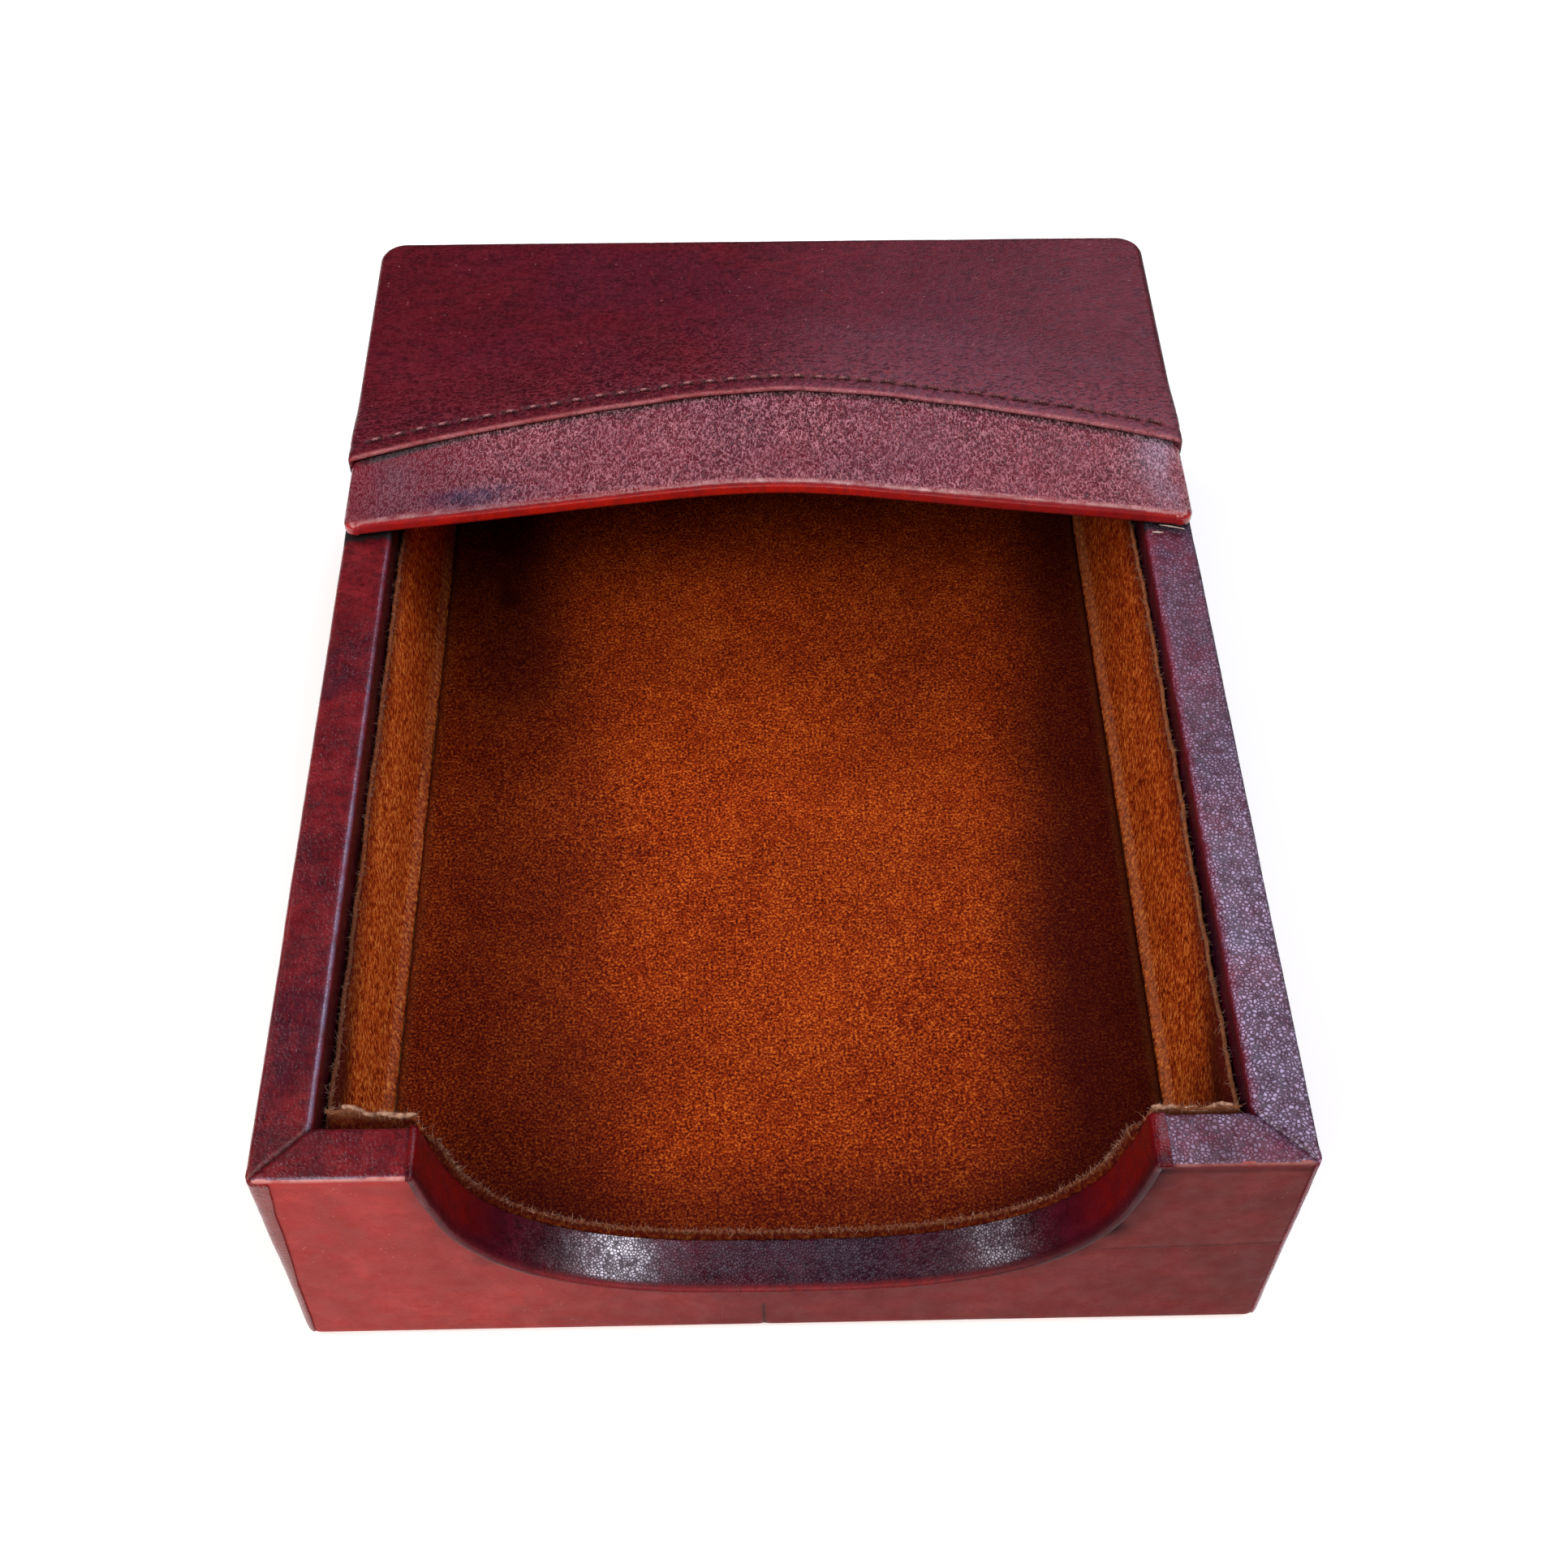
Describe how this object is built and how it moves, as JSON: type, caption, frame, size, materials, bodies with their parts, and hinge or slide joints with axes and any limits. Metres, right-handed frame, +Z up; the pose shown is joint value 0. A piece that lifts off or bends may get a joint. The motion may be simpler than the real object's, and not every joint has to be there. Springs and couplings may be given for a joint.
{
  "type": "memo pad holder",
  "caption": "Leather-covered memo tray with a U-shaped finger scoop, a velveteen-lined well and a fixed, stitched leather bridge over the rear that keeps loose sheets in place.",
  "frame": {"origin": "centre of the footprint, on the surface the tray stands on", "axes": "+Z up; -Y to the front, where the finger scoop is; +Y to the back, under the bridge; +X to the right seen from the front"},
  "size_m": [0.127, 0.1734, 0.0481],
  "materials": {
    "fibreboard": "raw medium-density fibreboard",
    "brad_steel": "bright wire",
    "burgundy_leather": "smooth semi-gloss with fine grain",
    "thread": "waxed dark thread with paler tips",
    "velveteen": "short speckled nap",
    "card": "grey board",
    "felt": "dense dark felt"
  },
  "bodies": {
    "root": {"base_board": "fibreboard", "left_wall_core": "fibreboard", "right_wall_core": "fibreboard", "front_wall_core": "fibreboard", "back_wall_core": "fibreboard", "corner_brads": "brad_steel", "bridge_board": "fibreboard", "left_wall_leather": "burgundy_leather", "right_wall_leather": "burgundy_leather", "front_wall_leather": "burgundy_leather", "back_wall_leather": "burgundy_leather", "scoop_strip_leather": "burgundy_leather", "bridge_front_leather": "burgundy_leather", "bridge_top_leather": "burgundy_leather", "hem_stitching": "thread", "left_wall_lining": "velveteen", "right_wall_lining": "velveteen", "front_wall_lining": "velveteen", "back_wall_lining": "velveteen", "floor_card": "card", "floor_lining": "velveteen", "bridge_underside_lining": "velveteen", "bottom_filler_card": "card", "bottom_felt": "felt"}
  },
  "joints": []
}
